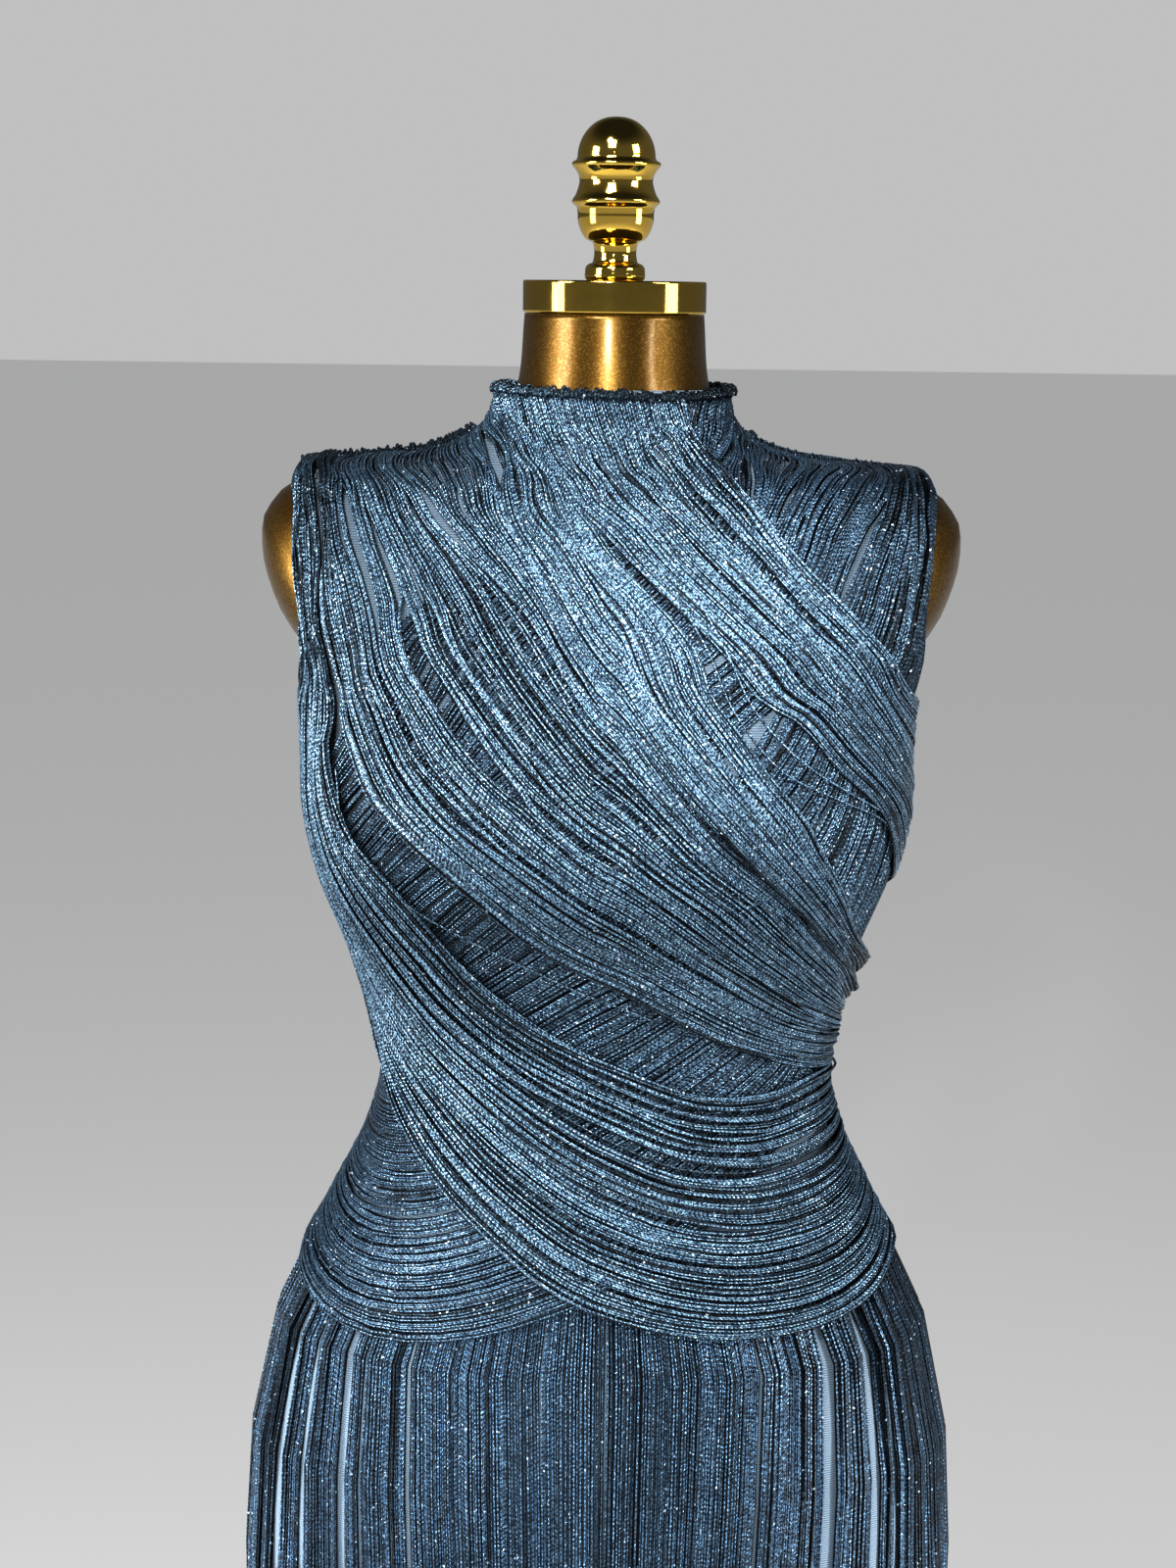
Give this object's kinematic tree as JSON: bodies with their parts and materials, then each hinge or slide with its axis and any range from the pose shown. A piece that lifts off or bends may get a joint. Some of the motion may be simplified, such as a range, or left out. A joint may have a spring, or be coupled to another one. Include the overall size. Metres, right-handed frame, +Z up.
{
  "type": "maxi dress on a limbless dress form",
  "caption": "Full-length sleeveless dress with a funnel neck, fringe crossed over the bodice in drapes and hung to the floor, worn by a limbless dress form on a round stand.",
  "frame": {"origin": "on the floor under the middle of the round base plate", "axes": "+Z up along the pole, -Y towards the front of the dress, +X towards the wearer's left"},
  "size_m": [0.3844, 0.38, 1.5901],
  "materials": {
    "gold_paint": "satin metallic gold paint with fine flake",
    "bright_gold": "polished",
    "ground_knit": "fine horizontal rib knit, matte",
    "drape_fringe": "twisted yarn with a metallic thread",
    "hung_fringe": "twisted yarn with a metallic thread, hanging straight"
  },
  "bodies": {
    "root": {"dress_form": "gold_paint", "base_plate": "bright_gold", "pole": "bright_gold", "neck_cap": "bright_gold", "finial": "bright_gold", "ground_bodice_front": "ground_knit", "ground_bodice_back": "ground_knit", "ground_skirt_front": "ground_knit", "ground_skirt_back": "ground_knit", "skirt_fringe": "hung_fringe", "back_fringe": "hung_fringe", "under_drape": "drape_fringe", "neck_band_drape": "drape_fringe", "bust_band_drape": "drape_fringe", "hip_swag_drape": "drape_fringe", "neck_edge": "drape_fringe", "shoulder_edge_left": "drape_fringe", "shoulder_edge_right": "drape_fringe"}
  },
  "joints": []
}
